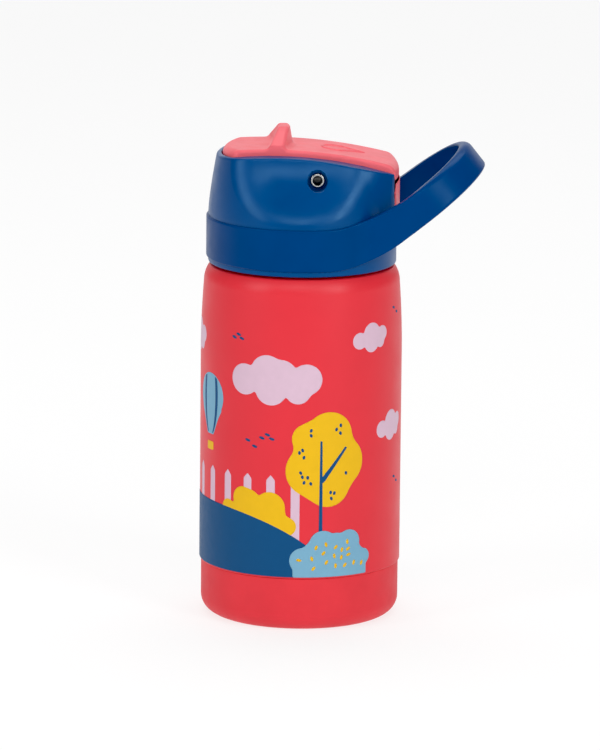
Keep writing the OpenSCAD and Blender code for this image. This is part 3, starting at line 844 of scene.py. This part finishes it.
# Circles (s, z, radius) about the centre of each motif
BIG_CLOUD = [(-12.4, -1.0, 5.6), (-3.6, 2.0, 6.4), (1.6, 1.2, 5.8), (10.6, 0.0, 5.6), (-2.2, -3.6, 6.0),
             (7.6, -4.2, 4.6)]
SMALL_CLOUD = [(-5.6, -0.8, 3.0), (0.2, 1.2, 4.0), (5.6, 0.8, 2.7), (-0.2, -2.0, 3.4), (4.4, -2.0, 2.2)]
CROWN = [(1.6, 9.2, 8.6), (-6.2, 8.2, 5.6), (-4.8, -3.4, 9.2), (5.6, -0.4, 9.2), (1.2, -8.2, 8.3),
         (-1.0, 2.0, 9.0)]
GOLD_BUSH = [(-7.2, 3.6, 4.2), (-4.4, 3.0, 4.0), (3.4, 1.2, 5.6), (9.6, -5.4, 3.4), (-14.0, -0.6, 2.9),
             (-3.0, -2.0, 7.0), (-9.0, -3.0, 5.0), (4.6, -3.4, 5.2)]
BLUE_BUSH = [(-3.6, 4.0, 5.0), (6.2, 4.4, 4.4), (12.2, -1.6, 2.9), (-11.0, -1.8, 4.6), (1.4, 3.2, 4.8),
             (-5.6, -0.4, 6.0), (1.6, -2.4, 6.6), (7.2, -1.4, 5.4)]

# Outlines and marks: s from the middle of the tree or bush (for the birds, of the picture), z as above
TRUNK = [(-1.95, 30), (-0.75, 30), (-0.9, 52), (-1.05, 69.4), (-1.55, 69.6), (-1.75, 52)]
BRANCH = [(-1.4, 54.4), (-1.3, 55.8), (7.7, 67.1), (8.1, 66.7), (-0.3, 54.8)]
LEAVES = [(-5.0, 73.5), (-5.0, 71.7), (5.8, 75.0), (4.2, 73.6), (5.7, 72.2), (-8.0, 66.4), (-9.1, 65.5),
          (-7.5, 63.8), (-8.6, 58.2), (-8.0, 56.7), (-6.1, 56.5), (-7.4, 54.7), (-5.0, 54.3), (8.0, 57.6),
          (2.2, 50.9), (3.6, 50.6), (2.5, 48.7)]
SEEDS = [(-12.2, 26.5, 80), (-7.6, 27.0, 15), (-7.0, 23.4, -40), (-6.1, 31.0, -20), (-2.5, 32.0, 10),
         (-3.4, 28.9, -40), (-2.3, 25.5, -30), (1.1, 30.9, -40), (0.6, 27.7, 10), (1.1, 24.1, 0),
         (3.5, 29.8, -15), (3.3, 27.0, -15), (4.7, 24.1, -40), (5.6, 32.5, 5), (5.9, 29.9, -50),
         (6.1, 27.8, -70), (8.3, 24.7, -15), (11.6, 24.2, -20)]
BIRDS = [(-25.9, 105.3), (-24.0, 106.5), (-22.6, 105.2), (-19.6, 68.9), (-16.8, 66.9), (-14.0, 70.2),
         (-11.9, 71.5), (-10.3, 70.1), (42.2, 113.9), (45.0, 112.0), (42.9, 52.3), (45.4, 50.4)]


def hill_top(s):
    """Height of the hill; it falls away at the front and stands at full height round the back."""
    way = (s + 56) % ROUND                 # distance on from s = -56, where the slope starts
    front = 44.2 - 12.6 * (way / 58.7) ** 3.5
    back = 20.0 + 24.2 * smooth(112, 160, way) + 1.6 * np.sin((way - 160) / 11) * smooth(160, 180, way)
    return np.where(way < 85, front, back)


def hill(s, z):
    """The hill's shape, which runs down to the boot; 0.95 allows for its slope."""
    return np.maximum((z - hill_top(s)) * 0.95, FOOT_Z - z)


def fence(s, z, first, last):
    """Pickets with pointed tops, from the one at first to the one at last."""
    gap, half, height, taper = 9.0, 1.6, 57.0, 1.15
    near = np.clip(np.round((s - first) / gap), 0, round((last - first) / gap)) * gap + first
    u = np.abs(s - near)
    point = (z - height + u * taper) / hypot(1, taper)
    return both(np.maximum(u - half, 25 - z), point, 0.25)


def bush_with_floor(s, z, circles):
    """A bush whose foot runs straight down to the boot."""
    shape = blobs(s, z, circles, 0.8)
    left, right = min(circles)[0], max(circles)[0]
    base = np.maximum(slab(s - (left + right) / 2 + 1.0, (right - left) / 2 + 2.4), z - 25)
    return np.maximum(join(shape, base, 0.4), FOOT_Z - z)


def envelope(s, z):
    """A hot-air balloon's envelope about its own centre."""
    return join(disc(s, z - 3, 8.2), polygon(s, z, [(-6.6, -2), (-2.2, -11), (2.2, -11), (6.6, -2)]), 1.5)


def stripes(s, z):
    """The two stripes that follow the envelope's curve."""
    bulge = np.sqrt(np.maximum(1 - ((z - 3) / 14.5) ** 2, 0.05))
    return np.maximum(slab(np.abs(s / bulge) - 4.2, 0.75), envelope(s, z) + 0.4)


def basket(s, z):
    return both(slab(s, 2.2), slab(z + 15.2, 1.5), 0.5)


def print_cloud(name, circles, low, high, soft=0.6):
    patch(name, lambda s, z: blobs(s, z, circles, soft), low, high, SKY, "lilac")


def print_clouds(shift, n, mark):
    """The clouds of copy n of the picture; those of the back copy hang a little differently."""
    big = moved(BIG_CLOUD, -8.6 + shift, 91.8 + 6 * n)
    print_cloud("print_big_cloud" + mark, big, (-27 + shift, 78), (9 + shift, 110), 1.0)
    small = moved(SMALL_CLOUD, 27.8 + shift, 105.4 - 4 * n)
    print_cloud("print_small_cloud" + mark, small, (17 + shift, 94), (38 + shift, 113))
    low = moved(SMALL_CLOUD, 39.5 + shift, 72.0 + 3 * n, 1.04)
    print_cloud("print_low_cloud" + mark, low, (28 + shift, 64), (52 + shift, 84))
    far = moved(SMALL_CLOUD, -53.5 + shift, 102.0, 1.15)
    print_cloud("print_far_cloud" + mark, far, (-66 + shift, 93), (-42 + shift, 112))


def print_tree(middle, mark):
    """Crown, a trunk with one branch, and leaves that each point their own way."""
    crown = moved(CROWN, middle, 62.2)
    patch("print_tree_crown" + mark, lambda s, z: blobs(s, z, crown, 2.5), (-16 + middle, 40),
          (18 + middle, 84), BEHIND, "yellow")

    def wood(s, z):
        return np.minimum(polygon(s - middle, z, TRUNK), polygon(s - middle, z, BRANCH)) - 0.12

    patch("print_trunk" + mark, wood, (-3 + middle, 28), (9 + middle, 71), MIDDLE, "navy", 0.22)
    leaves = [(middle + s, z, -20 + 37 * k % 50) for k, (s, z) in enumerate(LEAVES)]
    spots("print_leaves" + mark, leaves, MIDDLE, "navy", (0.50, 0.70))


def print_fence(shift, n, mark):
    """A row of pickets, shorter round the back, and a lone one next to the tree."""
    lone, first, last = -1.7 + shift, -64.6 + 18 * n + shift, -10.6 + shift

    def pickets(s, z):
        return np.where(s - shift > -5, fence(s, z, lone, lone), fence(s, z, first, last))

    patch("print_fence" + mark, pickets, (-67 + shift, 26), (1 + shift, 59), SKY, "lilac", 0.4)


def print_gold_bush(middle, mark):
    circles = moved(GOLD_BUSH, middle, 44.0)
    patch("print_gold_bush" + mark, lambda s, z: np.maximum(blobs(s, z, circles, 1.0), 33 - z),
          (-20 + middle, 33), (14 + middle, 54), MIDDLE, "yellow")


def print_blue_bush(middle, mark):
    """The bush in front of the hill, with its seeds."""
    circles = moved(BLUE_BUSH, middle, 28.1)
    patch("print_blue_bush" + mark, lambda s, z: bush_with_floor(s, z, circles),
          (-17 + middle, 20), (17 + middle, 39), FRONT, "blue")
    seeds = [(middle + s, z, tilt) for s, z, tilt in SEEDS]
    spots("print_seeds" + mark, seeds, TOPMOST, "yellow", (0.52, 0.95))


def print_balloon(middle, mark):
    """Hot-air balloon, which stands where the photo shows a figure."""
    centre = 79
    patch("print_balloon" + mark, lambda s, z: envelope(s - middle, z - centre),
          (-10 + middle, 66), (10 + middle, 92), BEHIND, "blue")
    patch("print_balloon_stripes" + mark, lambda s, z: stripes(s - middle, z - centre),
          (-9 + middle, 66), (9 + middle, 91), MIDDLE, "navy", 0.3)
    patch("print_basket" + mark, lambda s, z: basket(s - middle, z - centre),
          (-4 + middle, 60), (4 + middle, 67), BEHIND, "yellow", 0.3)


def print_birds(shift, mark):
    """Short dashes in small flocks."""
    spots("print_birds" + mark, [(s + shift, z) for s, z in BIRDS], SKY, "navy", (1.1, 0.5), -16)


def print_hill():
    """One piece all the way round. The grid's first and last columns meet at the back."""
    columns = 452
    step = ROUND / columns
    end = (ROUND - step) / 2               # half a step short, so that rounding can't add a column
    patch("print_hill", hill, (-ROUND / 2, 20), (end, 49), GROUND, "navy", step)


def make_print():
    """The picture on the front, and again round the back."""
    back = ROUND / 2 + 6
    for n, (shift, mark) in enumerate(((0.0, ""), (back, "_back"))):
        print_clouds(shift, n, mark)
        print_tree(8.8 + shift, mark)
        print_fence(shift, n, mark)
        print_gold_bush(-14.3 + shift, mark)
        print_blue_bush(12.0 + shift, mark)
        print_balloon(-39.5 + shift, mark)
        print_birds(shift, mark)
    print_hill()


# ---------------------------------------------------------------- camera, light and floor

def make_camera():
    """Long lens from the front and a little above, fitted to the photo. Distances are in metres."""
    target, distance = Vector((0, 0, 0.08609)), 2.2
    rise, roll = radians(11.84), radians(0.534)
    back = Vector((0, -cos(rise), sin(rise)))
    right, up = Vector((1, 0, 0)), Vector((0, sin(rise), cos(rise)))
    right, up = cos(roll) * right + sin(roll) * up, cos(roll) * up - sin(roll) * right
    turn = Matrix((right, up, back)).transposed().to_4x4()
    data = bpy.data.cameras.new("camera")
    data.lens, data.sensor_width = 294.7, 36
    data.shift_x = -0.0014
    data.clip_start, data.clip_end = 0.05, 50
    camera = bpy.data.objects.new("camera", data)
    camera.matrix_world = Matrix.Translation(target + distance * back) @ turn
    bpy.context.scene.collection.objects.link(camera)
    bpy.context.scene.camera = camera


def make_light(name, azimuth, elevation, distance, size, radiance):
    """Softbox aimed at the bottle, in metres and degrees. Azimuth 0 is the camera's side, 90 its right."""
    data = bpy.data.lights.new(name, "AREA")
    data.shape, data.size, data.size_y = "RECTANGLE", size[0], size[1]
    data.energy = radiance * pi * size[0] * size[1]
    aim = Vector((0, 0, 0.1))
    a, e = radians(azimuth), radians(elevation)
    toward = Vector((cos(e) * sin(a), -cos(e) * cos(a), sin(e)))
    light = bpy.data.objects.new(name, data)
    light.location = distance * toward + aim
    light.rotation_mode = "QUATERNION"
    light.rotation_quaternion = (-toward).to_track_quat("-Z", "Y")
    bpy.context.scene.collection.objects.link(light)


def make_world():
    world = bpy.data.worlds.new("studio")
    world.use_nodes = True
    background = world.node_tree.nodes["Background"]
    background.inputs["Color"].default_value = (1, 1, 1, 1)
    background.inputs["Strength"].default_value = 0.22
    bpy.context.scene.world = world


def make_view():
    """Plain display of the light, with the darkest tones pulled down a little."""
    black = 0.010
    view = bpy.context.scene.view_settings
    view.view_transform = "Standard"
    view.use_curve_mapping = True
    view.curve_mapping.black_level = (black, black, black)
    view.curve_mapping.update()


def make_lights():
    # Name, azimuth, elevation, distance, (width, height) and radiance
    make_light("front_softbox", -4, 35, 1.5, (0.9, 0.4), 4.4)
    make_light("left_softbox", -54, 24, 1.5, (0.45, 0.8), 5.0)
    make_light("right_softbox", 40, 24, 1.5, (0.45, 0.8), 7.0)
    make_light("top_panel", 180, 68, 1.4, (1.5, 0.8), 2.8)
    make_light("backdrop", 180, 16, 2.0, (2.8, 0.9), 0.9)


def make_floor():
    """White table. Most of its brightness is its own, which keeps the bottle's red tint off it."""
    floor_size = 20                        # metres
    bm = bmesh.new()
    bmesh.ops.create_grid(bm, x_segments=8, y_segments=8, size=floor_size / 2)
    mesh = bpy.data.meshes.new("floor")
    bm.to_mesh(mesh)
    bm.free()
    floor = link("floor", mesh)
    paper = Shader("light_table", (0.24, 0.24, 0.24), 0.9, 0.1).tone(300, 0.01).sheen_spots(200, 0.03)
    paper.set(Emission_Color=(1, 1, 1, 1), Emission_Strength=0.76)
    floor.data.materials.append(paper.grain(0.8, 10).material)


make_camera()
make_world()
make_view()
make_lights()
make_floor()
make_barrel()
make_boot()
make_foot_ring()
make_liner()
make_gasket()
make_housing()
make_handle()
make_rear_strip()
make_cover()
make_pin()
make_mouthpiece_base()
make_mouthpiece_spout()
dress_cad_nodes()
make_print()

bpy.context.view_layer.update()
